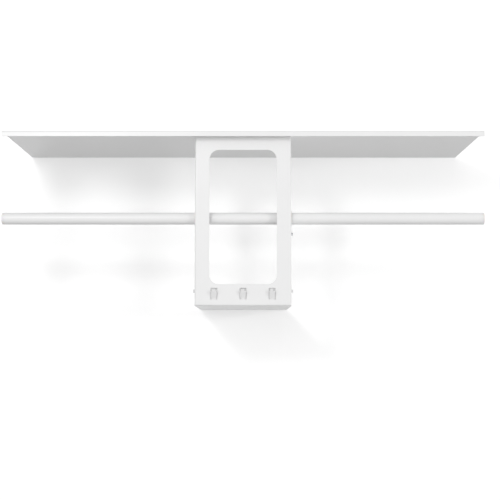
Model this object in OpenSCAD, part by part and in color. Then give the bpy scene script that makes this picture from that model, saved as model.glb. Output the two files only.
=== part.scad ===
// Wall hook rack: a folded sheet shelf, a folded console under its middle, a hanging rail
// that runs through the console, and three hook tongues in the console's lower border.
// The wall is the plane y = 0 and the room lies towards -Y. The origin is on the wall,
// in the middle of the upper row of wall screws.

/* [Sheet] */
// Thickness of the folded steel sheet
sheet_t = 2; // [1.5:0.1:2.4]
// Outer radius of a fold
fold_r = 4; // [3:0.1:5]

/* [Shelf] */
// Length of the shelf, left to right
shelf_w = 1000; // [880:10:1400]
// Depth of the shelf, from the wall to the face of its lip
shelf_d = 300; // [250:5:400]
// Height of the front lip, with the deck's thickness
lip_h = 12; // [8:0.5:20]
// Height of the upper wall screws above the deck
screw_rise = 20; // [14:1:30]
// Height of the wall flange above its screws
flange_rise = 18; // [10:1:30]

/* [Console] */
// Width of the console
console_w = 200; // [188:2:240]
// Height of the console, from the deck's underside to its own underside
console_h = 360; // [345:5:420]
// Distance from the lip's face back to the console's face
set_back = 20; // [10:1:30]
// Depth of the side returns and of the top return
return_d = 50; // [44:1:70]
// Width of the window in the front plate
window_w = 140; // [100:2:150]
// Height of the window
window_h = 280; // [200:5:282]
// Radius of the window's corners
window_r = 20; // [5:1:40]
// Height of the border above the window
window_border = 35; // [30:1:40]
// Height of the flange that turns up at the wall end of the floor
floor_flange_h = 30; // [24:1:40]

/* [Rail] */
// Diameter of the rail
rail_d = 25; // [18:0.5:26]
// Wall thickness of the rail's tube
rail_t = 1.5; // [1:0.1:3]
// Length of the rail's tube, without its end caps
rail_len = 1000; // [600:10:1400]
// Distance from the deck's underside down to the rail's axis
rail_drop = 176.5; // [120:0.5:240]
// Distance from the console's face back to the rail's axis
rail_back = 24; // [22:0.5:28]
// Thickness of an end cap's head
cap_t = 5; // [3:0.5:8]
// Radius on the rim of an end cap
cap_r = 1.5; // [0.5:0.1:2.5]
// Length of an end cap's plug
plug_len = 14; // [8:1:30]
// Radial thickness of a bush in the side return
bush_t = 1.5; // [1:0.1:2]
// Width of a bush's rim beyond its sleeve
bush_rim = 2.5; // [1.5:0.1:3]
// Thickness of a bush's rim
bush_rim_t = 1.5; // [1:0.1:3]

/* [Locking plate] */
// Thickness of the locking plate
lock_t = 2; // [1.5:0.1:3]
// Width of the ring that the locking plate makes round the rail
lock_ring = 5; // [3:0.5:7]
// Width of the locking plate's tail
lock_tail_w = 16; // [12:0.5:20]
// Distance from the rail's axis down to the locking screw
lock_drop = 33; // [28:0.5:45]

/* [Hooks] */
// Spacing of the hooks
hook_pitch = 60; // [40:1:65]
// Width of a hook
hook_w = 12; // [8:0.5:20]
// Thickness of a hook
hook_t = 2; // [1.5:0.1:2.5]
// Length of a hook's tongue
hook_len = 20; // [18:0.5:22]
// Angle at which the tongue leans out from the wall
hook_lean = 32; // [25:1:35]
// Radius of the corners at the tongue's tip
hook_tip_r = 3; // [1:0.5:4]
// Height above the console's underside at which a hook bends
hook_rise = 13.8; // [13:0.1:15]
// Clearance between the end of a hook's leg and the console's lower fold
hook_leg_gap = 0.8; // [0.4:0.1:1.4]
// Radius of a hook's bend, at the middle of its thickness
hook_bend_r = 2; // [1.5:0.1:2.5]
// Clearance beside a tongue in its opening
hook_gap = 0.7; // [0.4:0.1:1.5]
// Clearance below a hook's bend in its opening
hook_low_gap = 0.2; // [0.1:0.1:0.6]
// Clearance above a tongue in its opening
hook_top_gap = 5.5; // [4:0.5:7]

/* [Hook bar] */
// Depth of the bar's end flanges
bar_d = 40; // [30:1:43]
// Thickness of the bar
bar_t = 2; // [1.5:0.1:2.4]
// Clearance between the bar's ends and the side returns
bar_clear = 0.2; // [0.1:0.05:0.5]
// Clearance between the bar and the floor
bar_lift = 2; // [1:0.5:4]
// Height of the bar above the hook openings
bar_cover = 3; // [1:0.5:4]
// Height of the bar's screws above the console's underside
bar_screw_rise = 31.5; // [28:0.5:34]

/* [Fixings] */
// Diameter of the side screws
screw_d = 4; // [3:0.5:5]
// Diameter of a side screw's head
head_d = 7; // [6:0.5:9]
// Height of a side screw's head
head_h = 4; // [2:0.5:5]
// Length of a side screw under its head
screw_len = 10; // [9:0.5:16]
// Distance from the console's face back to the side screws
side_screw_back = 24; // [20:0.5:30]
// Diameter of the studs under the deck
stud_d = 5; // [4:0.5:6]
// Length of a stud
stud_len = 12; // [9:0.5:18]
// Spacing of the studs
stud_pitch = 50; // [30:1:55]
// Diameter of a hook rivet's shank
rivet_d = 3.2; // [2.4:0.2:4]
// Diameter of a hook rivet's sunk head
rivet_head_d = 6; // [5:0.2:7]
// Depth of a hook rivet's sunk head
rivet_sink = 1.2; // [0.8:0.1:1.4]
// Height of a rivet's closed end
rivet_end_h = 1.4; // [1:0.1:2]
// Clearance round a screw, stud or rivet in sheet
hole_gap = 0.25; // [0.1:0.05:0.4]
// Clearance between turned or moulded parts that fit together
fit_gap = 0.1; // [0.05:0.05:0.2]

/* [Wall holes] */
// Diameter of the holes for the wall screws
wall_hole_d = 6.5; // [5:0.5:9]
// Spacing of the outer pair of holes in the shelf's wall flange
outer_hole_pitch = 800; // [400:10:860]
// Spacing of the inner pair of holes, on the shelf and on the console
inner_hole_pitch = 150; // [100:5:160]
// Height of the lower holes above the console's underside
floor_hole_rise = 17; // [13:1:18]

/* [Hidden] */

$fn = 64;
cut = 1;                                  // how far a cut runs past the face it opens
left = -1;
right = 1;
hook_places = [-1:1];                     // left, centre and right, in steps of the pitch
stud_count = 4;

// Sizes of standard fixings, as shares of their thread's diameter
nut_flats_share = 1.75;
nut_h_share = 0.8;
socket_flats_share = 0.75;
flange_nut_flats_share = 1.6;
flange_nut_flange_share = 2.3;
flange_nut_lip_share = 0.25;

white_paint = [0.93, 0.93, 0.93];
white_nylon = [0.86, 0.86, 0.85];
zinc = [0.62, 0.63, 0.65];

deck_top = -screw_rise;
deck_under = deck_top - sheet_t;
console_bottom = deck_under - console_h;
floor_top = console_bottom + sheet_t;
face_y = set_back - shelf_d;              // front face of the console
plate_back_y = face_y + sheet_t;
window_top = deck_under - window_border;

rail_r = rail_d / 2;
rail_y = face_y + rail_back;
rail_z = deck_under - rail_drop;
bush_r = rail_r + fit_gap + bush_t;       // outside of a bush's sleeve
bush_hole_r = bush_r + fit_gap;
inner_x = console_w / 2 - sheet_t;        // inner face of a side return

side_screw_y = face_y + side_screw_back;
lock_screw_z = rail_z - lock_drop;
bar_screw_z = console_bottom + bar_screw_rise;
screw_hole_r = screw_d / 2 + hole_gap;
nut_flats = nut_flats_share * screw_d;
nut_h = nut_h_share * screw_d;
socket_flats = socket_flats_share * screw_d;

hook_z = console_bottom + hook_rise;      // where the leg's middle meets the tongue's
hook_y = plate_back_y + hook_t / 2;       // middle of the leg's thickness
hook_leg = hook_rise - fold_r - hook_leg_gap;
bend_reach = hook_bend_r * tan(hook_lean / 2);
bend_steps = 8;
tip_rise = hook_len * cos(hook_lean) + hook_t / 2 * sin(hook_lean);
opening_bottom = hook_z - bend_reach - hook_low_gap;
opening_top = hook_z + tip_rise + hook_top_gap;
opening_w = hook_w + 2 * hook_gap;
opening_r = hook_gap;
rivet_z = hook_z - hook_leg / 2;

bar_y = plate_back_y + hook_t;            // front face of the bar
bar_w = 2 * (inner_x - bar_clear);
bar_bottom = floor_top + bar_lift;
bar_top = opening_top + bar_cover;

stud_y = face_y + return_d / 2;
stud_hole_r = stud_d / 2 + hole_gap;
stud_nut_flats = flange_nut_flats_share * stud_d;
stud_nut_flange_d = flange_nut_flange_share * stud_d;
stud_nut_flange_t = flange_nut_lip_share * stud_d;
stud_nut_h = stud_d;
stud_xs = [for (i = [0:stud_count - 1]) (i - (stud_count - 1) / 2) * stud_pitch];

lower_hole_z = console_bottom + floor_hole_rise;

// Lays a drawing made in x and z on its side and gives it a depth from y0 to y1
module across_y(y0, y1) {
    translate([0, y1, 0]) rotate([90, 0, 0]) linear_extrude(y1 - y0) children();
}

// Lays a drawing made in y and z on its side and gives it a length from x0 to x1
module across_x(x0, x1) {
    translate([x0, 0, 0]) rotate([90, 0, 90]) linear_extrude(x1 - x0) children();
}

// Round hole or rod along Y
module rod_y(r, y0, y1) {
    translate([0, y1, 0]) rotate([90, 0, 0]) cylinder(r = r, h = y1 - y0);
}

// Round hole or rod along X
module rod_x(r, x0, x1) {
    translate([x0, 0, 0]) rotate([0, 90, 0]) cylinder(r = r, h = x1 - x0);
}

// Rectangle with four round corners
module rounded_rect(w, h, r) {
    square([w - 2 * r, h], center = true);
    square([w, h - 2 * r], center = true);
    for (x = [-1, 1], y = [-1, 1])
        translate([x * (w / 2 - r), y * (h / 2 - r)]) circle(r);
}

// Rectangle from y = 0 to y = d whose two corners at y = 0 are round
module round_front(w, d, r) {
    translate([-w / 2, r]) square([w, d - r]);
    translate([r - w / 2, 0]) square([w - 2 * r, d]);
    for (side = [left, right])
        translate([side * (w / 2 - r), r]) circle(r);
}

// Plan of a sheet folded back at both ends
module folded_channel(w, d, t) {
    difference() {
        round_front(w, d, fold_r);
        translate([0, t]) round_front(w - 2 * t, d, fold_r - t);
    }
}

// One fold of the sheet, a quarter ring in the quadrant that turn picks
module fold(turn) {
    rotate(turn) intersection() {
        difference() {
            circle(fold_r);
            circle(fold_r - sheet_t);
        }
        square(fold_r);
    }
}

// Six-sided nut along X with its seat at x = 0 and its body towards +X
module nut_x(flats, h, bore_r) {
    difference() {
        rotate([0, 90, 0]) cylinder(d = flats / cos(30), h = h, $fn = 6);
        rod_x(bore_r, -cut, h + cut);
    }
}

// Cap screw along X: its head's seat is at x = 0, its shank runs towards -X
module cap_screw_x() {
    difference() {
        rod_x(head_d / 2, 0, head_h);
        translate([head_h / 2, 0, 0]) rotate([0, 90, 0])
            cylinder(d = socket_flats / cos(30), h = head_h, $fn = 6);
    }
    rod_x(screw_d / 2, -screw_len, 0);
}

// Side screw at the given height, its head on the outer face of one side return
module side_screw(side, z) {
    translate([side * console_w / 2, side_screw_y, z])
        mirror([side == left ? 1 : 0, 0, 0]) cap_screw_x();
}

// Nut of a side screw, seated on a face at the distance seat_x from the middle
module side_nut(side, z, seat_x) {
    translate([side * seat_x, side_screw_y, z])
        mirror([side == right ? 1 : 0, 0, 0]) nut_x(nut_flats, nut_h, screw_d / 2 + fit_gap);
}

// Holes for the wall screws, a pair at the given height
module wall_hole_pair(pitch, z) {
    for (side = [left, right])
        translate([side * pitch / 2, 0, z]) rod_y(wall_hole_d / 2, -sheet_t - cut, cut);
}

module shelf_profile() {
    translate([fold_r - shelf_d, deck_under]) square([shelf_d - 2 * fold_r, sheet_t]);
    translate([fold_r - shelf_d, deck_top - fold_r]) fold(90);
    translate([-shelf_d, deck_top - lip_h]) square([sheet_t, lip_h - fold_r]);
    translate([-fold_r, deck_under + fold_r]) fold(-90);
    translate([-sheet_t, deck_under + fold_r])
        square([sheet_t, flange_rise - deck_under - fold_r]);
}

module shelf_panel() {
    color(white_paint) difference() {
        across_x(-shelf_w / 2, shelf_w / 2) shelf_profile();
        wall_hole_pair(outer_hole_pitch, 0);
        wall_hole_pair(inner_hole_pitch, 0);
    }
}

module shelf_studs() {
    color(zinc) for (x = stud_xs)
        translate([x, stud_y, deck_under - stud_len]) cylinder(d = stud_d, h = stud_len);
}

module shelf_nuts() {
    seat_z = deck_under - sheet_t;
    color(zinc) for (x = stud_xs)
        translate([x, stud_y, seat_z - stud_nut_h]) difference() {
            union() {
                cylinder(d = stud_nut_flats / cos(30), h = stud_nut_h, $fn = 6);
                translate([0, 0, stud_nut_h - stud_nut_flange_t])
                    cylinder(d = stud_nut_flange_d, h = stud_nut_flange_t);
            }
            translate([0, 0, -cut])
                cylinder(r = stud_d / 2 + fit_gap, h = stud_nut_h + 2 * cut);
        }
}

// Openings in the front plate: the window and one opening for each hook
module plate_openings() {
    across_y(face_y - cut, plate_back_y + cut) {
        translate([0, window_top - window_h / 2]) rounded_rect(window_w, window_h, window_r);
        for (place = hook_places)
            translate([place * hook_pitch, (opening_top + opening_bottom) / 2])
                rounded_rect(opening_w, opening_top - opening_bottom, opening_r);
    }
}

// Holes in the side returns: the rail's bushes, the bar's screws and the locking screw
module return_holes() {
    translate([0, rail_y, rail_z]) rod_x(bush_hole_r, -console_w, console_w);
    translate([0, side_screw_y, bar_screw_z]) rod_x(screw_hole_r, -console_w, console_w);
    translate([0, side_screw_y, lock_screw_z]) rod_x(screw_hole_r, 0, console_w);
}

// Block that the console's sheet keeps within, round along its folded edges
module console_block() {
    intersection() {
        translate([0, face_y, console_bottom])
            linear_extrude(console_h) round_front(console_w, -face_y, fold_r);
        across_x(-console_w / 2, console_w / 2)
            translate([face_y / 2, console_bottom + console_h / 2])
                rounded_rect(-face_y, console_h, fold_r);
    }
}

// Floor, flange at the wall and top return, with the folds that join them to the front plate
module console_profile() {
    translate([face_y + fold_r, console_bottom]) square([-face_y - 2 * fold_r, sheet_t]);
    translate([face_y + fold_r, console_bottom + fold_r]) fold(180);
    translate([-fold_r, console_bottom + fold_r]) fold(-90);
    translate([-sheet_t, console_bottom + fold_r]) square([sheet_t, floor_flange_h - fold_r]);
    translate([face_y + fold_r, deck_under - fold_r]) fold(90);
    translate([face_y + fold_r, deck_under - sheet_t]) square([return_d - fold_r, sheet_t]);
}

module console_body() {
    color(white_paint) difference() {
        intersection() {
            console_block();
            union() {
                translate([0, face_y, console_bottom])
                    linear_extrude(console_h) folded_channel(console_w, return_d, sheet_t);
                across_x(-console_w / 2, console_w / 2) console_profile();
            }
        }
        plate_openings();
        return_holes();
        for (x = stud_xs)
            translate([x, stud_y, deck_under - sheet_t - cut])
                cylinder(r = stud_hole_r, h = sheet_t + 2 * cut);
        wall_hole_pair(inner_hole_pitch, lower_hole_z);
    }
}

module hanging_rail() {
    color(white_paint) translate([0, rail_y, rail_z]) difference() {
        rod_x(rail_r, -rail_len / 2, rail_len / 2);
        rod_x(rail_r - rail_t, -rail_len / 2 - cut, rail_len / 2 + cut);
    }
}

// End cap along Z: head from z = 0 up, plug from z = 0 down
module rail_cap() {
    rotate_extrude() {
        square([rail_r, cap_t - cap_r]);
        square([rail_r - cap_r, cap_t]);
        translate([rail_r - cap_r, cap_t - cap_r]) intersection() {
            circle(cap_r);
            square(cap_r);
        }
        translate([0, -plug_len]) square([rail_r - rail_t - fit_gap, plug_len]);
    }
}

module rail_end(side) {
    color(white_nylon) translate([side * rail_len / 2, rail_y, rail_z])
        rotate([0, side * 90, 0]) rail_cap();
}

module rail_bush(side) {
    color(white_nylon) translate([side * inner_x, rail_y, rail_z])
        mirror([side == left ? 1 : 0, 0, 0]) difference() {
            union() {
                rod_x(bush_r, 0, sheet_t);
                rod_x(bush_r + bush_rim, sheet_t, sheet_t + bush_rim_t);
            }
            rod_x(rail_r + fit_gap, -cut, sheet_t + bush_rim_t + cut);
        }
}

// Plate round the rail with a tail for its screw, on the inner face of the right return
module rail_locking_plate() {
    color(zinc) difference() {
        across_x(inner_x - lock_t, inner_x) {
            translate([rail_y, rail_z]) circle(rail_r + lock_ring);
            translate([side_screw_y, lock_screw_z]) circle(lock_tail_w / 2);
            translate([side_screw_y - lock_tail_w / 2, lock_screw_z])
                square([lock_tail_w, lock_drop]);
        }
        translate([0, rail_y, rail_z]) rod_x(rail_r + fit_gap, 0, console_w);
        translate([0, side_screw_y, lock_screw_z]) rod_x(screw_hole_r, 0, console_w);
    }
}

module hook_bar() {
    color(white_paint) difference() {
        translate([0, bar_y, bar_bottom])
            linear_extrude(bar_top - bar_bottom) folded_channel(bar_w, bar_d, bar_t);
        translate([0, side_screw_y, bar_screw_z]) rod_x(screw_hole_r, -console_w, console_w);
        for (place = hook_places)
            translate([place * hook_pitch, 0, rivet_z])
                rod_y(rivet_d / 2 + hole_gap, bar_y - cut, bar_y + bar_t + cut);
    }
}

// Sunk rivet along Y, from the front of a hook's leg to the back of the bar
module hook_rivet(gap) {
    leg_front = hook_y - hook_t / 2;
    bar_back = bar_y + bar_t;
    rod_y(rivet_d / 2 + gap, leg_front, bar_back);
    translate([0, leg_front, 0]) rotate([-90, 0, 0])
        cylinder(r1 = rivet_head_d / 2 + gap, r2 = rivet_d / 2 + gap, h = rivet_sink);
}

// One edge of a hook's side view, in y and z, from its leg's end up round the bend: r is its
// radius in the bend. It runs past the tongue's tip, which hook_outline cuts to length.
function hook_edge(r) = let (
    bend = [for (i = [0:bend_steps]) let (turn = hook_lean * i / bend_steps)
        [r * cos(turn) - hook_bend_r, r * sin(turn) - bend_reach]],
    past_tip = (hook_len + cut) * [-sin(hook_lean), cos(hook_lean)]
) concat([[r - hook_bend_r, -hook_leg]], bend, [bend[bend_steps] + past_tip]);

module hook_profile() {
    wall_side = hook_edge(hook_bend_r + hook_t / 2);
    room_side = hook_edge(hook_bend_r - hook_t / 2);
    last = len(room_side) - 1;
    polygon(concat(wall_side, [for (i = [last:-1:0]) room_side[i]]));
}

// Outline of a hook seen square to its tongue, with the tip's two round corners
module hook_outline() {
    below = hook_leg + cut;
    translate([0, hook_len]) mirror([0, 1]) round_front(hook_w, hook_len + below, hook_tip_r);
}

// Hook tongue at the given place: 0 is the middle, -1 the left, 1 the right
module hook(place) {
    depth = hook_leg + hook_len;
    color(white_paint) translate([place * hook_pitch, 0, 0]) difference() {
        translate([0, hook_y, hook_z]) intersection() {
            across_x(-hook_w / 2 - cut, hook_w / 2 + cut) hook_profile();
            rotate([hook_lean, 0, 0]) across_y(-depth, depth) hook_outline();
        }
        translate([0, 0, rivet_z]) hook_rivet(fit_gap);
    }
}

module hook_rivets() {
    bar_back = bar_y + bar_t;
    color(zinc) for (place = hook_places)
        translate([place * hook_pitch, 0, rivet_z]) {
            hook_rivet(0);
            rod_y(rivet_head_d / 2, bar_back, bar_back + rivet_end_h);
        }
}

module bar_screws() {
    color(white_paint) for (side = [left, right]) side_screw(side, bar_screw_z);
}

module bar_nuts() {
    color(zinc) for (side = [left, right])
        side_nut(side, bar_screw_z, inner_x - bar_clear - bar_t);
}

module locking_screw() {
    color(zinc) side_screw(right, lock_screw_z);
}

module locking_nut() {
    color(zinc) side_nut(right, lock_screw_z, inner_x - lock_t);
}

shelf_panel();
shelf_studs();
shelf_nuts();
console_body();
hanging_rail();
rail_end(left);  // rail_cap_left
rail_end(right);  // rail_cap_right
rail_bush(left);  // rail_bush_left
rail_bush(right);  // rail_bush_right
rail_locking_plate();
locking_screw();
locking_nut();
hook_bar();
hook(-1);  // hook_left
hook(0);  // hook_centre
hook(1);  // hook_right
hook_rivets();
bar_screws();
bar_nuts();
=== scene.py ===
"""Looks of the wall hook rack: materials, fine pieces, studio and camera.

Everything is in metres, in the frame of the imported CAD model: the wall is the plane
y = 0, the room lies towards -Y, and +Z is up.
"""

import math

import bmesh
import bpy
from mathutils import Matrix, Vector


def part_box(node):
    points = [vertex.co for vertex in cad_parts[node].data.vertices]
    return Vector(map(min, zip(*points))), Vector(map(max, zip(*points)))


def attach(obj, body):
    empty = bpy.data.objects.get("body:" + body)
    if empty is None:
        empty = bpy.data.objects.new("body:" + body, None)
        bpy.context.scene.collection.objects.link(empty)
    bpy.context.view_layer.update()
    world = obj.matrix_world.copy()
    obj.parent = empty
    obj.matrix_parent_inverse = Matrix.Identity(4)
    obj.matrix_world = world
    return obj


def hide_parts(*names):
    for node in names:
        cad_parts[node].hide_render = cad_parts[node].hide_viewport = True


MM = 0.001


# ---------------------------------------------------------------- camera

CAMERA_PLACE = (0.01435, -2.3175, -0.4527)
CAMERA_TILT = 5.2166          # degrees above the horizon
CAMERA_LENS = 71.27           # millimetres
CAMERA_SENSOR = 36            # millimetres, the width of the sensor


def make_camera():
    """The photograph's view of a shelf 300 mm deep: square to the wall, tilted up a little."""
    data = bpy.data.cameras.new("camera")
    data.sensor_width = CAMERA_SENSOR
    data.lens = CAMERA_LENS
    data.clip_start = 0.05
    data.clip_end = 50
    camera = bpy.data.objects.new("camera", data)
    camera.location = CAMERA_PLACE
    camera.rotation_euler = (math.radians(90 + CAMERA_TILT), 0, 0)
    bpy.context.scene.collection.objects.link(camera)
    bpy.context.scene.camera = camera


# ---------------------------------------------------------------- node helpers

class Tree:
    """Short names for the nodes of one material or world."""

    def __init__(self, tree):
        self.tree = tree
        tree.nodes.clear()

    def add(self, kind, **settings):
        """A new node with the given settings."""
        node = self.tree.nodes.new(kind)
        for name, value in settings.items():
            setattr(node, name, value)
        return node

    def join(self, source, target):
        self.tree.links.new(source, target)

    def feed(self, socket, value):
        """Puts a number, a colour or another node's output into an input."""
        if isinstance(value, bpy.types.NodeSocket):
            self.join(value, socket)
        else:
            socket.default_value = value

    def math(self, operation, first, second=0.0, clamp=False):
        node = self.add("ShaderNodeMath", operation=operation, use_clamp=clamp)
        self.feed(node.inputs[0], first)
        self.feed(node.inputs[1], second)
        return node.outputs[0]

    def spread(self, value, low, high, to_low, to_high):
        """Maps low..high to to_low..to_high, without going past either end."""
        node = self.add("ShaderNodeMapRange")
        for socket, number in zip(node.inputs, (value, low, high, to_low, to_high)):
            self.feed(socket, number)
        return node.outputs[0]

    def noise(self, where, scale, detail=2.0, roughness=0.5):
        node = self.add("ShaderNodeTexNoise")
        self.join(where, node.inputs["Vector"])
        node.inputs["Scale"].default_value = scale
        node.inputs["Detail"].default_value = detail
        node.inputs["Roughness"].default_value = roughness
        return node.outputs["Fac"]

    def blend(self, factor, first, second):
        """A mix of two colours."""
        node = self.add("ShaderNodeMix", data_type="RGBA")
        self.feed(node.inputs[0], factor)
        self.feed(node.inputs[6], first)
        self.feed(node.inputs[7], second)
        return node.outputs[2]

    def bump(self, height, distance, strength=1.0, normal=None):
        node = self.add("ShaderNodeBump")
        node.inputs["Strength"].default_value = strength
        node.inputs["Distance"].default_value = distance
        self.join(height, node.inputs["Height"])
        if normal is not None:
            self.join(normal, node.inputs["Normal"])
        return node.outputs[0]


def new_material(name):
    material = bpy.data.materials.new(name)
    material.use_nodes = True
    return material, Tree(material.node_tree)


def grey(tone):
    return (tone, tone, tone, 1.0)


def surface(tree):
    """The output and the Principled shader of a material."""
    output = tree.add("ShaderNodeOutputMaterial")
    shader = tree.add("ShaderNodeBsdfPrincipled")
    tree.join(shader.outputs[0], output.inputs["Surface"])
    return shader


def edge_share(tree, radius):
    """How close a point is to a sharp edge, 0 to 1, and the normal with that edge rounded."""
    bevel = tree.add("ShaderNodeBevel")
    bevel.inputs["Radius"].default_value = radius
    geometry = tree.add("ShaderNodeNewGeometry")
    dot = tree.add("ShaderNodeVectorMath", operation="DOT_PRODUCT")
    tree.join(bevel.outputs[0], dot.inputs[0])
    tree.join(geometry.outputs["Normal"], dot.inputs[1])
    share = tree.spread(dot.outputs["Value"], 0.999, 0.80, 0.0, 1.0)
    return share, bevel.outputs[0]


# ---------------------------------------------------------------- materials

# How many times a pattern repeats in a metre
COAT_CLOUDS = 9.0
COAT_PATCHES = 55.0
COAT_PEEL = 620.0
COAT_GRAIN = 3400.0
NYLON_FLOW = 130.0
NYLON_GRAIN = 5200.0
ZINC_STAINS = 160.0
ZINC_GRAIN = 2600.0
# How high a relief stands
PEEL_HEIGHT = 0.06 * MM
COAT_GRAIN_HEIGHT = 0.03 * MM
FINE_GRAIN_HEIGHT = 0.01 * MM
SMALL_EDGE = 0.4 * MM         # radius of an edge on the nylon and zinc pieces


def powder_coat(name, tone, edge_tone, edge_radius, peel):
    """White powder coat on folded steel: orange peel, a fine grain and thin edges."""
    material, tree = new_material(name)
    shader = surface(tree)
    where = tree.add("ShaderNodeTexCoord").outputs["Object"]
    cloud = tree.noise(where, COAT_CLOUDS, 3.0)
    patch = tree.noise(where, COAT_PATCHES, 2.0)
    peel_height = tree.noise(where, COAT_PEEL, 1.0, 0.4)
    grain = tree.noise(where, COAT_GRAIN, 2.0, 0.6)
    share, rounded = edge_share(tree, edge_radius)
    cloud_part = tree.math("MULTIPLY", cloud, 0.7)
    mottle = tree.math("ADD", cloud_part, tree.math("MULTIPLY", patch, 0.3))
    body = tree.blend(tree.spread(mottle, 0.35, 0.65, 0.0, 1.0), grey(tone - 0.012), grey(tone))
    speck = tree.spread(grain, 0.70, 0.78, 0.0, 0.35)
    body = tree.blend(speck, body, grey(tone - 0.07))
    worn = tree.math("MULTIPLY", share, tree.spread(patch, 0.35, 0.7, 0.25, 1.0))
    tree.join(tree.blend(worn, body, grey(edge_tone)), shader.inputs["Base Color"])
    gloss = tree.spread(mottle, 0.3, 0.7, 0.28, 0.34)
    gloss = tree.math("ADD", gloss, tree.math("MULTIPLY", grain, 0.06))
    gloss = tree.math("SUBTRACT", gloss, tree.math("MULTIPLY", worn, 0.08))
    tree.join(gloss, shader.inputs["Roughness"])
    peeled = tree.bump(peel_height, PEEL_HEIGHT, peel, rounded)
    tree.join(tree.bump(grain, COAT_GRAIN_HEIGHT, 0.6, peeled), shader.inputs["Normal"])
    return material


def nylon(name, tone):
    """Moulded nylon: satin, with faint flow marks and a fine spark-eroded grain."""
    material, tree = new_material(name)
    shader = surface(tree)
    where = tree.add("ShaderNodeTexCoord").outputs["Object"]
    flow = tree.noise(where, NYLON_FLOW, 3.0, 0.6)
    grain = tree.noise(where, NYLON_GRAIN, 1.0)
    share, rounded = edge_share(tree, SMALL_EDGE)
    body = tree.blend(tree.spread(flow, 0.3, 0.7, 0.0, 1.0), grey(tone - 0.03), grey(tone))
    rubbed = tree.math("MULTIPLY", share, 0.6)
    tree.join(tree.blend(rubbed, body, grey(tone + 0.04)), shader.inputs["Base Color"])
    tree.join(tree.spread(flow, 0.3, 0.7, 0.42, 0.54), shader.inputs["Roughness"])
    tree.join(tree.bump(grain, FINE_GRAIN_HEIGHT, 0.5, rounded), shader.inputs["Normal"])
    shader.inputs["Subsurface Weight"].default_value = 0.15
    shader.inputs["Subsurface Scale"].default_value = 0.0015
    return material


def zinc_plate(name):
    """Bright zinc plate: a fine spangle, soft stains and rubbed edges."""
    material, tree = new_material(name)
    shader = surface(tree)
    where = tree.add("ShaderNodeTexCoord").outputs["Object"]
    stain = tree.noise(where, ZINC_STAINS, 3.0, 0.6)
    grain = tree.noise(where, ZINC_GRAIN, 2.0, 0.6)
    share, rounded = edge_share(tree, SMALL_EDGE)
    stained = tree.spread(stain, 0.3, 0.7, 0.0, 1.0)
    body = tree.blend(stained, (0.50, 0.51, 0.53, 1.0), (0.66, 0.67, 0.69, 1.0))
    tree.join(tree.blend(share, body, grey(0.80)), shader.inputs["Base Color"])
    gloss = tree.spread(stain, 0.3, 0.7, 0.30, 0.44)
    gloss = tree.math("ADD", gloss, tree.math("MULTIPLY", grain, 0.10))
    tree.join(gloss, shader.inputs["Roughness"])
    tree.join(tree.bump(grain, FINE_GRAIN_HEIGHT, 0.6, rounded), shader.inputs["Normal"])
    shader.inputs["Metallic"].default_value = 1.0
    return material


# ---------------------------------------------------------------- studio

WALL_TONE = 0.93
WALL_GLOW = 0.22              # what is seen of the white wall beside its own light
ROOM_HEIGHT = 1.5             # from the part's origin down to the floor


def backdrop_material():
    """Matt white wall and floor that take shadows.

    Only the camera, mirrors and glass see them, and only from the room's side, so that
    they throw no light on the part and don't keep the soft light off it.
    """
    material, tree = new_material("studio_white")
    output = tree.add("ShaderNodeOutputMaterial")
    where = tree.add("ShaderNodeTexCoord").outputs["Object"]
    diffuse = tree.add("ShaderNodeBsdfDiffuse")
    plaster = tree.spread(tree.noise(where, 4.0, 3.0), 0.3, 0.7, 0.0, 1.0)
    tree.join(tree.blend(plaster, grey(WALL_TONE - 0.006), grey(WALL_TONE)), diffuse.inputs["Color"])
    glow = tree.add("ShaderNodeEmission")
    rays = tree.add("ShaderNodeLightPath")
    direct = tree.math("MAXIMUM", rays.outputs["Is Camera Ray"], rays.outputs["Is Transmission Ray"])
    seen = tree.math("MAXIMUM", direct, rays.outputs["Is Glossy Ray"])
    tree.join(tree.math("MULTIPLY", seen, WALL_GLOW), glow.inputs["Strength"])
    lit = tree.add("ShaderNodeAddShader")
    tree.join(diffuse.outputs[0], lit.inputs[0])
    tree.join(glow.outputs[0], lit.inputs[1])
    behind = tree.add("ShaderNodeNewGeometry").outputs["Backfacing"]
    shown = tree.math("MULTIPLY", seen, tree.math("SUBTRACT", 1.0, behind))
    mix = tree.add("ShaderNodeMixShader")
    tree.join(shown, mix.inputs[0])
    tree.join(tree.add("ShaderNodeBsdfTransparent").outputs[0], mix.inputs[1])
    tree.join(lit.outputs[0], mix.inputs[2])
    tree.join(mix.outputs[0], output.inputs["Surface"])
    return material


def make_backdrop():
    """A wall that turns into a floor with a wide curve, well below the part."""
    half_width = 4.0
    top = 3.0
    reach = 5.0
    bend = 0.5
    steps = 24
    line = [(0.0, top)]
    for i in range(steps + 1):
        turn = math.radians(90 * i / steps)
        line.append((-bend * (1 - math.cos(turn)), -ROOM_HEIGHT + bend * (1 - math.sin(turn))))
    line.append((-reach, -ROOM_HEIGHT))
    verts = [(x, y, z) for y, z in line for x in (-half_width, half_width)]
    faces = [(2 * i, 2 * i + 2, 2 * i + 3, 2 * i + 1) for i in range(len(line) - 1)]
    mesh = bpy.data.meshes.new("backdrop")
    mesh.from_pydata(verts, [], faces)
    for polygon in mesh.polygons:
        polygon.use_smooth = True
    mesh.materials.append(backdrop_material())
    backdrop = bpy.data.objects.new("backdrop", mesh)
    bpy.context.scene.collection.objects.link(backdrop)


def area_lamp(name, place, target, size, power):
    data = bpy.data.lights.new(name, "AREA")
    data.shape = "DISK"
    data.size = size
    data.energy = power
    lamp = bpy.data.objects.new(name, data)
    lamp.location = place
    aim = Vector(target) - Vector(place)
    lamp.rotation_euler = aim.to_track_quat("-Z", "Y").to_euler()
    bpy.context.scene.collection.objects.link(lamp)


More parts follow.
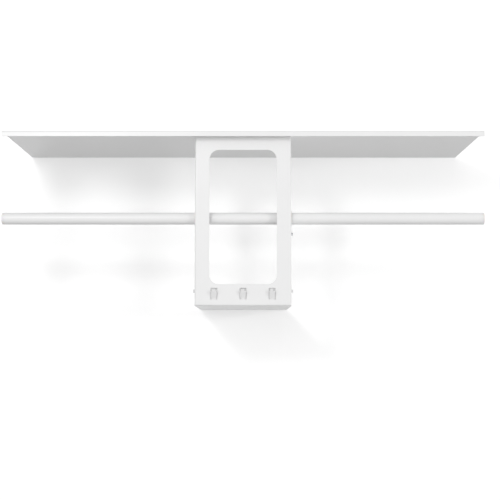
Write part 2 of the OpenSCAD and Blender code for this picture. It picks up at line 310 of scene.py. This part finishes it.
LAMP_AIM = Vector((0.0, -0.2, -0.2))
SIDE_LAMP_TURN = math.radians(51.2)     # from straight in front towards the right
SIDE_LAMP_RISE = math.radians(1.9)
SIDE_LAMP_AWAY = 4.0


def make_lamps():
    """Key lamp high on the left, and a far low lamp on the right."""
    area_lamp("key_lamp", (-0.700, -1.972, 0.401), (0.0, -0.1, -0.2), 0.366, 6.6)
    level = math.cos(SIDE_LAMP_RISE)
    across = math.sin(SIDE_LAMP_TURN) * level
    out = -math.cos(SIDE_LAMP_TURN) * level
    away = Vector((across, out, math.sin(SIDE_LAMP_RISE)))
    area_lamp("side_lamp", LAMP_AIM + SIDE_LAMP_AWAY * away, LAMP_AIM, 0.571, 30.0)


SOFT_LIGHT = 0.20             # the even light from all round
SOFT_SIDES = (                # where a soft light comes from, and how strong it is there
    ((-1.0, -1.0, 0.0), 1.09),
    ((0.0, -1.0, 1.0), 0.40),
    ((0.0, -1.0, 0.0), 0.20),
    ((1.0, -1.0, -1.0), 0.34),
    ((1.0, 0.0, 0.0), 0.48),
    ((1.0, 1.0, 0.0), 1.40),
    ((1.0, 1.0, 1.0), 0.60),
)
SOFT_FOCUS = 4.0              # how much a soft light keeps to its side


def make_world():
    """Soft light from all round, and plain white where the camera looks past the backdrop."""
    world = bpy.data.worlds.new("studio")
    world.use_nodes = True
    bpy.context.scene.world = world
    tree = Tree(world.node_tree)
    output = tree.add("ShaderNodeOutputWorld")
    where = tree.add("ShaderNodeTexCoord").outputs["Generated"]
    total = SOFT_LIGHT
    for side, strength in SOFT_SIDES:
        facing = tree.add("ShaderNodeVectorMath", operation="DOT_PRODUCT")
        tree.join(where, facing.inputs[0])
        facing.inputs[1].default_value = Vector(side).normalized()
        share = tree.math("POWER", tree.math("MAXIMUM", facing.outputs["Value"], 0.0), SOFT_FOCUS)
        total = tree.math("ADD", tree.math("MULTIPLY", share, strength), total)
    soft = tree.add("ShaderNodeBackground")
    soft.inputs["Color"].default_value = grey(1.0)
    tree.join(total, soft.inputs["Strength"])
    plain = tree.add("ShaderNodeBackground")
    plain.inputs["Color"].default_value = grey(1.0)
    plain.inputs["Strength"].default_value = 1.0
    mix = tree.add("ShaderNodeMixShader")
    tree.join(tree.add("ShaderNodeLightPath").outputs["Is Camera Ray"], mix.inputs[0])
    tree.join(soft.outputs[0], mix.inputs[1])
    tree.join(plain.outputs[0], mix.inputs[2])
    tree.join(mix.outputs[0], output.inputs["Surface"])


# ---------------------------------------------------------------- turned pieces

def fixed(radius):
    """A round ring's radius, the same at every angle."""
    return lambda angle: radius


def six_sided(flats, limit):
    """The radius of a hexagon with its corners cut off at the given limit."""
    def radius(angle):
        turn = (angle + math.pi / 6) % (math.pi / 3) - math.pi / 6
        return min(flats / 2 / math.cos(turn), limit)
    return radius


def helix(root, depth, pitch, height):
    """The radius of a screw thread at one height, which goes once round in one pitch."""
    def radius(angle):
        phase = (height / pitch - angle / math.tau) % 1.0
        return root + depth * min(1.0, max(0.0, 1.5 - abs(4 * phase - 2) * 1.25))
    return radius


def lofted(name, loops, hollow=False):
    """A closed mesh through loops of places; a hollow one joins its last loop to its first."""
    shape = bmesh.new()
    loops = [[shape.verts.new(place) for place in loop] for loop in loops]
    pairs = list(zip(loops, loops[1:]))
    if hollow:
        pairs.append((loops[-1], loops[0]))
    count = len(loops[0])
    for low, high in pairs:
        for i in range(count):
            j = (i + 1) % count
            shape.faces.new((low[i], low[j], high[j], high[i]))
    if not hollow:
        shape.faces.new(list(reversed(loops[0])))
        shape.faces.new(loops[-1])
    bmesh.ops.recalc_face_normals(shape, faces=shape.faces)
    mesh = bpy.data.meshes.new(name)
    shape.to_mesh(mesh)
    shape.free()
    return mesh


def turned(name, rings, steps=96, hollow=False):
    """A solid from rings (radius function, height) about Z."""
    angles = [math.tau * i / steps for i in range(steps)]
    loops = []
    for radius, height in rings:
        loops.append([(radius(a) * math.cos(a), radius(a) * math.sin(a), height) for a in angles])
    return lofted(name, loops, hollow)


def smooth(mesh, degrees=32):
    for polygon in mesh.polygons:
        polygon.use_smooth = True
    mesh.set_sharp_from_angle(angle=math.radians(degrees))


def joined(name, parts):
    """One mesh of several, each moved to its place by a matrix."""
    shape = bmesh.new()
    for mesh, place in parts:
        copy = mesh.copy()
        copy.transform(place)
        if place.determinant() < 0:
            copy.flip_normals()
        shape.from_mesh(copy)
        bpy.data.meshes.remove(copy)
    mesh = bpy.data.meshes.new(name)
    shape.to_mesh(mesh)
    shape.free()
    return mesh


def add_piece(name, mesh, material, nodes):
    """Links a mesh as a piece that rides on the body and stands for the CAD nodes named."""
    smooth(mesh)
    mesh.materials.append(material)
    piece = bpy.data.objects.new(name, mesh)
    bpy.context.scene.collection.objects.link(piece)
    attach(piece, "root")
    if nodes:
        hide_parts(*nodes)
    return piece


# ---------------------------------------------------------------- hardware

SCREW_D = 4.0 * MM
SCREW_LEN = 10.0 * MM         # under the head
SCREW_PITCH = 0.7 * MM
STUD_D = 5.0 * MM             # the size that a stud's nut is made for
STUD_PITCH = 0.8 * MM
STUD_COUNT = 4
STUD_NUT_FLATS = 8.0 * MM
THREAD_GAP = 0.1 * MM         # between a thread and its nut's bore, on the radius
SHEET_T = 2.0 * MM
BUSH_BORE_R = 12.6 * MM
BUSH_SLEEVE_R = 14.1 * MM
PLUG_LEN = 14.0 * MM          # of an end cap, inside the tube
TUBE_WALL = 1.6 * MM          # with the plug's clearance
CAP_ROUND = 1.5 * MM
CAP_CROWN = 0.25 * MM
RIVET_R = 1.6 * MM
RIVET_HEAD_R = 3.0 * MM
RIVET_SINK = 1.2 * MM
RIVET_GRIP = 4.0 * MM         # the bar and the hook's leg together


def along_x(place, side):
    """Turns a piece made along +Z so that it points towards +X or -X at its place."""
    return Matrix.Translation(place) @ Matrix.Rotation(side * math.pi / 2, 4, "Y")


def length_x(node):
    """How long a CAD node is along X."""
    low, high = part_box(node)
    return high.x - low.x


def quarter(steps):
    """Sine and 1 - cosine at even steps through a quarter turn, for rounded edges."""
    turns = [math.radians(90 * i / steps) for i in range(steps + 1)]
    return [(math.sin(turn), 1 - math.cos(turn)) for turn in turns]


def thread_rings(diameter, pitch, low, high, blunt):
    """Rings of a screw thread from low to high; blunt is the length of its pointed start."""
    root = diameter / 2 - 0.58 * pitch
    depth = 0.58 * pitch
    rings = []
    count = round((high - low) / (pitch / 7))
    for i in range(count + 1):
        height = low + (high - low) * i / count
        start = min(1.0, (height - low) / blunt)
        rings.append((helix(root - 0.3 * MM * (1 - start), depth * start, pitch, height), height))
    return rings


def cap_screw(head_d, head_h):
    """Cap screw along Z: its head's seat at 0, the thread below it, a hex socket on top."""
    head_r = head_d / 2
    shank_r = SCREW_D / 2
    flats = 0.75 * SCREW_D
    corner = flats / 2 / math.cos(math.pi / 6)
    grooves = 36

    def gripped(angle):
        return head_r - 0.09 * MM * (0.5 + 0.5 * math.cos(grooves * angle))

    rings = thread_rings(SCREW_D, SCREW_PITCH, -SCREW_LEN, -1.0 * MM, 0.8 * MM)
    rings += [(fixed(shank_r), -0.7 * MM), (fixed(shank_r), 0.0)]
    rings += [(fixed(head_r - 0.35 * MM), 0.0), (fixed(head_r - 0.1 * MM), 0.2 * MM)]
    rings += [(gripped, 0.4 * MM), (gripped, head_h - 1.0 * MM)]
    for rise, fall in quarter(4):
        height = head_h - 0.7 * MM + 0.7 * MM * rise
        rings.append((fixed(head_r - 0.1 * MM - 0.6 * MM * fall), height))
    rings += [(fixed(flats / 2 + 0.45 * MM), head_h)]
    rings += [(six_sided(flats, corner), head_h - 0.25 * MM)]
    rings += [(six_sided(flats, corner), head_h / 2)]
    rings += [(fixed(flats / 2 - 0.1 * MM), head_h / 2), (fixed(0.1 * MM), head_h / 2 - 0.5 * MM)]
    return turned("cap_screw", rings, 144)


def hex_rings(flats, low, high, low_cut=True):
    """Rings up the outside of a hexagon whose corners are turned off at its faces."""
    corner = flats / 2 / math.cos(math.pi / 6)
    rings = []
    for depth in (0.0, 0.12, 0.24, 0.36, 0.5):
        limit = min(corner, 0.955 * flats / 2 + 1.73 * depth * MM)
        rings.append((six_sided(flats, limit), depth * MM))
    lower = [(radius, low + depth) for radius, depth in rings]
    upper = [(radius, high - depth) for radius, depth in reversed(rings)]
    return (lower if low_cut else [(rings[-1][0], low)]) + upper


def bore_rings(bore_r, low, high):
    """Rings down the inside of a nut, with a countersink at either face."""
    sink = 0.3 * MM
    return [
        (fixed(bore_r + sink), high),
        (fixed(bore_r), high - sink),
        (fixed(bore_r), low + sink),
        (fixed(bore_r + sink), low),
    ]


def hex_nut(flats, height, bore_r):
    rings = hex_rings(flats, 0.0, height) + bore_rings(bore_r, 0.0, height)
    return turned("hex_nut", rings, 96, hollow=True)


def flange_nut(flats, height, flange_d, bore_r):
    """Flange nut along Z with its flange's seat at 0."""
    flange_r = flange_d / 2
    rings = [(fixed(flange_r - 0.3 * MM), 0.0), (fixed(flange_r), 0.25 * MM)]
    rings += [(fixed(flange_r), 0.75 * MM), (fixed(flange_r - 0.25 * MM), 0.95 * MM)]
    rings += [(fixed(flats * 0.58), 1.45 * MM)]
    rings += hex_rings(flats, 1.5 * MM, height, low_cut=False)
    rings += bore_rings(bore_r, 0.0, height)
    return turned("flange_nut", rings, 96, hollow=True)


def make_studs(material):
    """Threaded weld studs under the deck; gives their places in x and y."""
    low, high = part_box("shelf_studs")
    diameter = high.y - low.y
    step = (high.x - low.x - diameter) / (STUD_COUNT - 1)
    length = high.z - low.z
    rings = thread_rings(diameter, STUD_PITCH, 0.0, length - 0.6 * MM, 1.0 * MM)
    rings += [(fixed(diameter / 2), length - 0.5 * MM), (fixed(diameter / 2), length)]
    stud = turned("stud", rings, 64)
    y = (low.y + high.y) / 2
    spots = [(low.x + diameter / 2 + i * step, y) for i in range(STUD_COUNT)]
    mesh = joined("stud_threads", [(stud, Matrix.Translation((x, y, low.z))) for x, y in spots])
    add_piece("stud_threads", mesh, material, ["shelf_studs"])
    return spots


def make_stud_nuts(material, spots):
    """Flange nuts on the studs, each turned a little differently."""
    low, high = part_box("shelf_nuts")
    bore_r = STUD_D / 2 + THREAD_GAP
    nut = flange_nut(STUD_NUT_FLATS, high.z - low.z, high.y - low.y, bore_r)
    hang = Matrix.Rotation(math.pi, 4, "X")
    parts = []
    for i, (x, y) in enumerate(spots):
        turn = Matrix.Rotation(math.radians(17 + 23 * i), 4, "Z")
        parts.append((nut, Matrix.Translation((x, y, high.z)) @ turn @ hang))
    mesh = joined("stud_flange_nuts", parts)
    add_piece("stud_flange_nuts", mesh, material, ["shelf_nuts"])


def side_hardware(screws, nuts, materials, names):
    """Cap screws through the side returns and the nuts behind them, from their CAD boxes."""
    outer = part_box("console_body")[1].x
    low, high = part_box(screws)
    nut_low, nut_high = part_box(nuts)
    sides = (-1, 1) if low.x < 0 else (1,)
    nut_h = length_x("locking_nut")
    y, z = (low.y + high.y) / 2, (low.z + high.z) / 2
    screw = cap_screw(high.z - low.z, high.x - outer)
    nut = hex_nut(nut_high.y - nut_low.y, nut_h, SCREW_D / 2 + THREAD_GAP)
    screw_parts = [(screw, along_x((side * outer, y, z), side)) for side in sides]
    nut_x = nut_high.x - nut_h
    nut_parts = [(nut, along_x((side * nut_x, y, z), side)) for side in sides]
    add_piece(names[0], joined(names[0], screw_parts), materials[0], [screws])
    add_piece(names[1], joined(names[1], nut_parts), materials[1], [nuts])


def make_bush(name, node, side, material):
    """Bush with a rounded rim; a small notch in the rim is the mark of its mould's gate."""
    low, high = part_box(node)
    rim_r = (high.z - low.z) / 2
    length = high.x - low.x

    def rim(radius):
        return lambda angle: radius - 0.35 * MM * math.exp(-((angle - 4.4) / 0.05) ** 2)

    rings = [(fixed(BUSH_BORE_R + 0.3 * MM), 0.0), (fixed(BUSH_SLEEVE_R - 0.3 * MM), 0.0)]
    rings += [(fixed(BUSH_SLEEVE_R), 0.3 * MM), (fixed(BUSH_SLEEVE_R), SHEET_T)]
    rings += [(rim(rim_r - 0.1 * MM), SHEET_T), (rim(rim_r), SHEET_T + 0.15 * MM)]
    for rise, fall in quarter(5):
        rings.append((rim(rim_r - 0.6 * MM * fall), length - 0.6 * MM * (1 - rise)))
    for rise, fall in quarter(4):
        rings.append((fixed(BUSH_BORE_R + 0.4 * MM * (1 - rise)), length - 0.4 * MM * fall))
    rings += [(fixed(BUSH_BORE_R), 0.3 * MM)]
    mesh = turned(name, rings, 144, hollow=True)
    inner_face = low.x if side > 0 else high.x
    place = along_x((inner_face, (low.y + high.y) / 2, (low.z + high.z) / 2), side)
    add_piece(name, joined(name, [(mesh, place)]), material, [node])


def make_cap(name, node, side, material):
    """End cap: a chamfered joint to the tube, a round rim, a crowned face and a gate dimple."""
    low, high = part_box(node)
    radius = (high.z - low.z) / 2
    head = (high.x - low.x) - PLUG_LEN
    plug_r = radius - TUBE_WALL

    def ribbed(angle):
        return plug_r - 0.25 * MM * (0.5 - 0.5 * math.cos(8 * angle))

    rings = [(fixed(plug_r - 1.0 * MM), -PLUG_LEN), (ribbed, 1.0 * MM - PLUG_LEN), (ribbed, 0.0)]
    rings += [(fixed(radius - 0.35 * MM), 0.0), (fixed(radius), 0.35 * MM)]
    for rise, fall in quarter(6):
        height = head - CAP_CROWN - (CAP_ROUND - CAP_CROWN) * (1 - rise)
        rings.append((fixed(radius - CAP_ROUND * fall), height))
    rings += [(fixed(0.6 * radius), head - 0.08 * MM), (fixed(2.4 * MM), head)]
    rings += [(fixed(1.9 * MM), head - 0.15 * MM), (fixed(1.2 * MM), head - 0.4 * MM)]
    rings += [(fixed(0.5 * MM), head - 0.4 * MM), (fixed(0.3 * MM), head - 0.2 * MM)]
    mesh = turned(name, rings, 128)
    tube_end = length_x("hanging_rail") / 2
    place = along_x((side * tube_end, (low.y + high.y) / 2, (low.z + high.z) / 2), side)
    add_piece(name, joined(name, [(mesh, place)]), material, [node])


def make_rivets(material):
    """Sunk rivets through the bar and the hooks' legs, flush in front and closed behind."""
    low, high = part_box("hook_rivets")
    length = high.y - low.y
    rings = [(fixed(RIVET_HEAD_R), 0.0), (fixed(RIVET_R), RIVET_SINK)]
    rings += [(fixed(RIVET_R), RIVET_GRIP)]
    rings += [(fixed(2.85 * MM), RIVET_GRIP), (fixed(3.0 * MM), RIVET_GRIP + 0.15 * MM)]
    rings += [(fixed(2.95 * MM), 4.5 * MM), (fixed(2.7 * MM), 4.85 * MM)]
    rings += [(fixed(2.1 * MM), 5.2 * MM), (fixed(1.2 * MM), length - 0.03 * MM)]
    rings += [(fixed(0.3 * MM), length)]
    rivet = turned("rivet", rings, 64)
    parts = []
    for node in ("hook_left", "hook_centre", "hook_right"):
        hook_low, hook_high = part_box(node)
        place = ((hook_low.x + hook_high.x) / 2, low.y, (low.z + high.z) / 2)
        parts.append((rivet, Matrix.Translation(place) @ Matrix.Rotation(-math.pi / 2, 4, "X")))
    add_piece("rivet_ends", joined("rivet_ends", parts), material, ["hook_rivets"])


# ---------------------------------------------------------------- hooks

HOOK_T = 2.0 * MM
HOOK_LEAN = math.radians(32)
HOOK_LEG = 9.0 * MM
HOOK_TONGUE = 20.0 * MM
HOOK_TIP_R = 3.0 * MM
HOOK_BEND = 2.0 * MM          # radius of the fold, at the middle of the sheet
HOOK_EDGE = 0.35 * MM         # radius that the coat gives the sheet's edges


def hook_line():
    """Stations along a hook: length so far, place in y and z from the fold, and lean."""
    reach = HOOK_BEND * math.tan(HOOK_LEAN / 2)
    stations = [(0.0, 0.0, -HOOK_LEG, 0.0)]
    stations.append((HOOK_EDGE * 0.4, 0.0, HOOK_EDGE * 0.4 - HOOK_LEG, 0.0))
    stations.append((HOOK_EDGE, 0.0, HOOK_EDGE - HOOK_LEG, 0.0))
    run = HOOK_LEG - reach
    for i in range(9):
        turn = HOOK_LEAN * i / 8
        y = -HOOK_BEND * (1 - math.cos(turn))
        z = HOOK_BEND * math.sin(turn) - reach
        stations.append((run + HOOK_BEND * turn, y, z, turn))
    run += HOOK_BEND * HOOK_LEAN
    straight = HOOK_TONGUE - reach
    last_y, last_z = stations[-1][1], stations[-1][2]
    stops = [straight - HOOK_TIP_R]
    for i in range(1, 13):
        stops.append(straight - HOOK_TIP_R + HOOK_TIP_R * math.sin(math.radians(90 * i / 12)))
    for stop in stops:
        y = last_y - stop * math.sin(HOOK_LEAN)
        z = last_z + stop * math.cos(HOOK_LEAN)
        stations.append((run + stop, y, z, HOOK_LEAN))
    return stations


def hook_ring(width, thick, edge):
    """Outline of the sheet's cross-section, a rectangle with four round corners."""
    points = []
    for x, n, start in ((1, 1, 0), (-1, 1, 90), (-1, -1, 180), (1, -1, 270)):
        for i in range(5):
            turn = math.radians(start + 90 * i / 4)
            px = x * (width / 2 - edge) + edge * math.cos(turn)
            points.append((px, n * (thick / 2 - edge) + edge * math.sin(turn)))
    return points


def make_hook(name, node, material):
    """One hook tongue: a strip with a soft fold, round tip corners and round edges."""
    low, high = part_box(node)
    full = high.x - low.x
    stations = hook_line()
    end = stations[-1][0]
    middle_y = high.y - HOOK_T / 2
    fold_z = low.z + HOOK_LEG
    loops = []
    for run, y, z, lean in stations:
        along = max(0.0, HOOK_TIP_R - (end - run))
        width = full - 2 * (HOOK_TIP_R - math.sqrt(max(0.0, HOOK_TIP_R ** 2 - along ** 2)))
        near = min(run, end - run, HOOK_EDGE)
        shrink = HOOK_EDGE - math.sqrt(max(0.0, HOOK_EDGE ** 2 - (HOOK_EDGE - near) ** 2))
        loop = []
        for px, pn in hook_ring(width - 2 * shrink, HOOK_T - 2 * shrink, HOOK_EDGE):
            out_y = -pn * math.cos(lean)
            out_z = -pn * math.sin(lean)
            x = (low.x + high.x) / 2 + px
            loop.append((x, middle_y + y + out_y, fold_z + z + out_z))
        loops.append(loop)
    add_piece(name, lofted(name, loops), material, [node])


# ---------------------------------------------------------------- rail seam

SEAM_WIDTH = math.radians(6)            # half the seam's width, round the rail
SEAM_FACING = math.radians(-50)         # from straight back towards the floor
SEAM_STATIONS = 500
SEAM_PROFILE = 6
SEAM_SUNK = 0.08 * MM                   # how deep its underside lies in the tube


def make_rail_seam(material):
    """The tube's weld seam under its coat: a low ripple along the side towards the wall."""
    low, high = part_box("hanging_rail")
    axis_y, axis_z = (low.y + high.y) / 2, (low.z + high.z) / 2
    radius = (high.z - low.z) / 2
    shares = [2 * k / SEAM_PROFILE - 1 for k in range(SEAM_PROFILE + 1)]
    loops = []
    for i in range(SEAM_STATIONS + 1):
        x = low.x + 0.5 * MM + (high.x - low.x - 1.0 * MM) * i / SEAM_STATIONS
        wave = 0.05 * MM + 0.015 * MM * math.sin(i * 2.4) + 0.01 * MM * math.sin(i * 0.37)
        outline = [(share, radius + wave * (1 - share * share)) for share in shares]
        outline += [(share, radius - SEAM_SUNK) for share in reversed(shares)]
        loop = []
        for share, reach in outline:
            angle = SEAM_FACING + SEAM_WIDTH * share
            loop.append((x, axis_y + reach * math.cos(angle), axis_z + reach * math.sin(angle)))
        loops.append(loop)
    add_piece("rail_seam", lofted("rail_seam", loops), material, [])


# ---------------------------------------------------------------- folded sheet

def soften_edges(frame, names, radius):
    """Rounds the cut edges of the CAD sheets, as the coat does, by modifiers alone."""
    for name in names:
        node = frame["nodes"][name]
        weld = node.modifiers.new("weld", "WELD")
        weld.merge_threshold = 1e-6
        flatten = node.modifiers.new("whole_faces", "DECIMATE")
        flatten.decimate_type = "DISSOLVE"
        flatten.angle_limit = math.radians(1)
        bevel = node.modifiers.new("coated_edges", "BEVEL")
        bevel.width = radius
        bevel.segments = 3
        bevel.limit_method = "ANGLE"
        bevel.angle_limit = math.radians(40)
        bevel.use_clamp_overlap = True
        bevel.loop_slide = False
        bevel.harden_normals = True


# ---------------------------------------------------------------- the scene

def dress_nodes(frame, looks):
    """Gives each CAD node the material of its slot in the record."""
    for name, node in frame["nodes"].items():
        for slot in node.material_slots:
            slot.material = looks[slot.material.name.split(".")[0]]


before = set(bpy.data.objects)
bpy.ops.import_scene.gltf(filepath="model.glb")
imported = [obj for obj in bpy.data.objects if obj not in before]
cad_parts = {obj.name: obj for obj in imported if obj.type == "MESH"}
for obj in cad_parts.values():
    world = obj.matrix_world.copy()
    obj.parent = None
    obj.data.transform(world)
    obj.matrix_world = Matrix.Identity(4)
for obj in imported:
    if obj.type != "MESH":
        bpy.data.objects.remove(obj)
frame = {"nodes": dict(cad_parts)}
bpy.context.view_layer.update()
bpy.context.scene.view_settings.view_transform = "Standard"
make_camera()
looks = {
    "white_steel": powder_coat("coat_white", 0.86, 0.80, 0.0006, 0.5),
    "white_screws": powder_coat("coat_screws", 0.80, 0.72, 0.0003, 0.3),
    "white_nylon": nylon("moulded_nylon", 0.84),
    "zinc_steel": zinc_plate("bright_zinc"),
}
dress_nodes(frame, looks)
coat, nylon_look, zinc = looks["white_steel"], looks["white_nylon"], looks["zinc_steel"]
soften_edges(frame, ("shelf_panel", "console_body", "hook_bar", "rail_locking_plate"), 0.35 * MM)
make_stud_nuts(zinc, make_studs(zinc))
side_hardware(
    "bar_screws", "bar_nuts",
    (looks["white_screws"], zinc), ("bar_cap_screws", "bar_hex_nuts"),
)
side_hardware(
    "locking_screw", "locking_nut",
    (zinc, zinc), ("locking_cap_screw", "locking_hex_nut"),
)
make_bush("bush_left", "rail_bush_left", -1, nylon_look)
make_bush("bush_right", "rail_bush_right", 1, nylon_look)
make_cap("end_cap_left", "rail_cap_left", -1, nylon_look)
make_cap("end_cap_right", "rail_cap_right", 1, nylon_look)
make_rivets(zinc)
make_hook("hook_tongue_left", "hook_left", coat)
make_hook("hook_tongue_centre", "hook_centre", coat)
make_hook("hook_tongue_right", "hook_right", coat)
make_rail_seam(coat)
make_backdrop()
make_lamps()
make_world()
bpy.context.view_layer.update()
